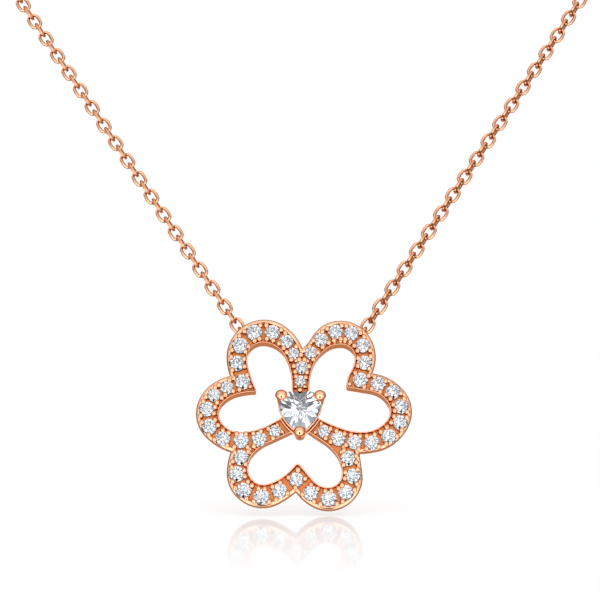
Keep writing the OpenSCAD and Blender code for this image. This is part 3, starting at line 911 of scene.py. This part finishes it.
def plain_floor():
    """White paper lit from below as well as above, so that shadows stay faint. At the pendant's foot it has a
    thin polish that mirrors a little."""
    material = bpy.data.materials.new("white_floor")
    material.use_nodes = True
    tree = material.node_tree
    tree.nodes.remove(tree.nodes["Principled BSDF"])
    place = node(tree, "ShaderNodeTexCoord")
    cloud = node(tree, "ShaderNodeTexNoise", Scale=40.0)
    tree.links.new(place.outputs["Object"], cloud.inputs["Vector"])
    paper = tree.nodes.new("ShaderNodeValToRGB")
    paper.color_ramp.elements[0].color = (0.93, 0.93, 0.93, 1)
    paper.color_ramp.elements[1].color = (0.95, 0.95, 0.95, 1)
    tree.links.new(cloud.outputs["Fac"], paper.inputs["Fac"])
    matt = tree.nodes.new("ShaderNodeBsdfDiffuse")
    tree.links.new(paper.outputs["Color"], matt.inputs["Color"])
    glow = node(tree, "ShaderNodeEmission", Color=(1.0, 0.979, 0.958, 1))
    even = node(tree, "ShaderNodeMixShader", Fac=MATT_SHARE)
    tree.links.new(glow.outputs["Emission"], even.inputs[1])
    tree.links.new(matt.outputs["BSDF"], even.inputs[2])
    shine = node(tree, "ShaderNodeBsdfGlossy", Roughness=0.06)
    from_foot = arithmetic(tree, "MULTIPLY_ADD")
    from_foot.inputs[1].default_value = (POLISH_ALONG_X, 1, 0)
    from_foot.inputs[2].default_value = (0, POLISH_DEPTH, 0)
    tree.links.new(place.outputs["Object"], from_foot.inputs[0])
    away = arithmetic(tree, "LENGTH")
    tree.links.new(from_foot.outputs["Vector"], away.inputs[0])
    polish = node(tree, "ShaderNodeMapRange", **POLISH_FADE, To_Min=POLISH, To_Max=0.0)
    strength = node(tree, "ShaderNodeMapRange", **POLISH_FADE, To_Min=GLOW_UNDER_POLISH, To_Max=GLOW)
    for fade in (polish, strength):
        tree.links.new(away.outputs["Value"], fade.inputs["Value"])
    tree.links.new(strength.outputs["Result"], glow.inputs["Strength"])
    both = tree.nodes.new("ShaderNodeMixShader")
    tree.links.new(polish.outputs["Result"], both.inputs["Fac"])
    tree.links.new(even.outputs["Shader"], both.inputs[1])
    tree.links.new(shine.outputs["BSDF"], both.inputs[2])
    tree.links.new(both.outputs["Shader"], tree.nodes["Material Output"].inputs["Surface"])
    bm = bmesh.new()
    bmesh.ops.create_grid(bm, x_segments=1, y_segments=1, size=3)
    bmesh.ops.translate(bm, verts=bm.verts[:], vec=(0, 0, FLOOR_HEIGHT * MM))
    floor = finished("floor", bm)
    floor.data.materials.append(material)
    floor.visible_glossy = False
    floor.visible_transmission = False


def ceiling_light(power):
    """Wide soft light straight above, for the floor only: the metal and stones mirror the room instead."""
    light = bpy.data.lights.new("ceiling", "SUN")
    light.energy = power
    light.angle = math.radians(110)
    lamp = bpy.data.objects.new("ceiling", light)
    lamp.visible_glossy = False
    lamp.visible_transmission = False
    bpy.context.scene.collection.objects.link(lamp)


def studio_sky():
    """White room. The camera sees it plain white. The metal mirrors a bright soft wall low in front, with the
    dark lens in it, and duller sides, back and ceiling. The stones gather softer, patchy light."""
    world = bpy.data.worlds.new("studio")
    bpy.context.scene.world = world
    world.use_nodes = True
    tree = world.node_tree
    out = tree.nodes["World Output"]
    seen = tree.nodes["Background"]
    seen.inputs["Color"].default_value = (1, 1, 1, 1)
    seen.inputs["Strength"].default_value = 1.0
    place = node(tree, "ShaderNodeTexCoord")

    def towards(direction, start, start_grey, end, end_grey, stretch=(1, 1, 1)):
        """Brightness that goes from start_grey to end_grey as the view turns towards a direction. Start and
        end are cosines of the angle from that direction, and a stretched zone is narrower along an axis."""
        wide = arithmetic(tree, "MULTIPLY")
        wide.inputs[1].default_value = stretch
        tree.links.new(place.outputs["Generated"], wide.inputs[0])
        unit = arithmetic(tree, "NORMALIZE")
        tree.links.new(wide.outputs["Vector"], unit.inputs[0])
        dot = arithmetic(tree, "DOT_PRODUCT")
        dot.inputs[1].default_value = Vector(direction).normalized()
        tree.links.new(unit.outputs["Vector"], dot.inputs[0])
        ramp = tree.nodes.new("ShaderNodeMapRange")
        ramp.interpolation_type = "SMOOTHSTEP"
        for name, value in (("From Min", start), ("From Max", end),
                            ("To Min", start_grey), ("To Max", end_grey)):
            ramp.inputs[name].default_value = value
        tree.links.new(dot.outputs["Value"], ramp.inputs["Value"])
        return ramp.outputs["Result"]

    def coloured(colour, strength):
        made = arithmetic(tree, "SCALE")
        made.inputs[0].default_value = colour
        tree.links.new(strength, made.inputs["Scale"])
        return made.outputs["Vector"]

    def added(first, *others):
        for other in others:
            made = arithmetic(tree, "ADD")
            tree.links.new(first, made.inputs[0])
            tree.links.new(other, made.inputs[1])
            first = made.outputs["Vector"]
        return first

    def patches(scale, dark, bright):
        """Cloudy light and dark patches all round the room."""
        cloud = node(tree, "ShaderNodeTexNoise", Scale=scale, Detail=1.0)
        tree.links.new(place.outputs["Generated"], cloud.inputs["Vector"])
        ramp = node(tree, "ShaderNodeMapRange", From_Min=0.42, From_Max=0.46, To_Min=dark, To_Max=bright)
        tree.links.new(cloud.outputs["Fac"], ramp.inputs["Value"])
        return ramp.outputs["Result"]

    def times(a, b):
        made = arithmetic(tree, "MULTIPLY", "ShaderNodeMath")
        tree.links.new(a, made.inputs[0])
        tree.links.new(b, made.inputs[1])
        return made.outputs["Value"]

    def room(zones, lens):
        """Room whose walls are lit in zones that add up, with the lens as a dark spot over all of them."""
        tone = tree.nodes.new("ShaderNodeBackground")
        lit = [coloured(colour, towards(*zone)) for colour, *zone in zones]
        tree.links.new(added(*lit), tone.inputs["Color"])
        tree.links.new(lens, tone.inputs["Strength"])
        return tone.outputs["Background"]

    def either(choice, no, yes):
        """Light from yes for the chosen rays and from no for the others."""
        blend = tree.nodes.new("ShaderNodeMixShader")
        tree.links.new(choice, blend.inputs["Fac"])
        tree.links.new(no, blend.inputs[1])
        tree.links.new(yes, blend.inputs[2])
        return blend.outputs["Shader"]

    warm, cool, white = (1, 0.86, 0.74), (0.84, 1.0, 1.16), (0.97, 0.99, 1)
    # Each zone: colour, direction, then the cosine and brightness where it starts, and those where it ends.
    metal_room = room(
        [(warm, (0, -1, 0), -0.6, 0.16, 0.15, 0.42),
         (warm, (0, 0.87, -0.5), 0.45, 0.0, 0.85, 0.45),
         (cool, (0, -1, 0), -0.15, 0.0, 0.4, 0.56),
         (cool, (0, -1, -0.4), 0.48, 0.0, 0.85, 1.6),
         (cool, (0, 1, 0.16), 0.9, 0.0, 0.96, 0.5),
         (cool, (0, 0, 1), 0.3, 0.0, 0.75, 0.45)],
        towards((0, -1, -0.55), 0.85, 1.0, 0.92, 0.02, (2.4, 1, 1)))
    stone_room = room(
        [(white, (0, 0, 1), 0.2, 0.4, 0.9, 0.6),
         (white, (0, 0, -1), 0.0, 0.0, 0.5, 0.1),
         (white, (0, -1, 0.1), 0.35, 0.0, 0.8, 0.95)],
        times(towards((0, -1, -0.12), 0.88, 1.0, 0.93, 0.03), patches(2.9, 0.0, 1.42)))
    rays = node(tree, "ShaderNodeLightPath")
    mirrored = either(rays.outputs["Is Transmission Ray"], metal_room, stone_room)
    shown = either(rays.outputs["Is Camera Ray"], mirrored, seen.outputs["Background"])
    tree.links.new(shown, out.inputs["Surface"])


plain_floor()
studio_sky()
ceiling_light(1.5)

view = bpy.context.scene.view_settings
view.view_transform = "Standard"
view.look = "None"

camera = bpy.data.cameras.new("camera")
camera.lens = 99
camera.sensor_width = 36
camera.sensor_fit = "HORIZONTAL"
camera.clip_start = 0.005
camera.clip_end = 20
photographer = bpy.data.objects.new("camera", camera)
photographer.location = CAMERA_PLACE
photographer.rotation_euler = (math.pi / 2, 0, 0)
bpy.context.scene.collection.objects.link(photographer)
bpy.context.scene.camera = photographer
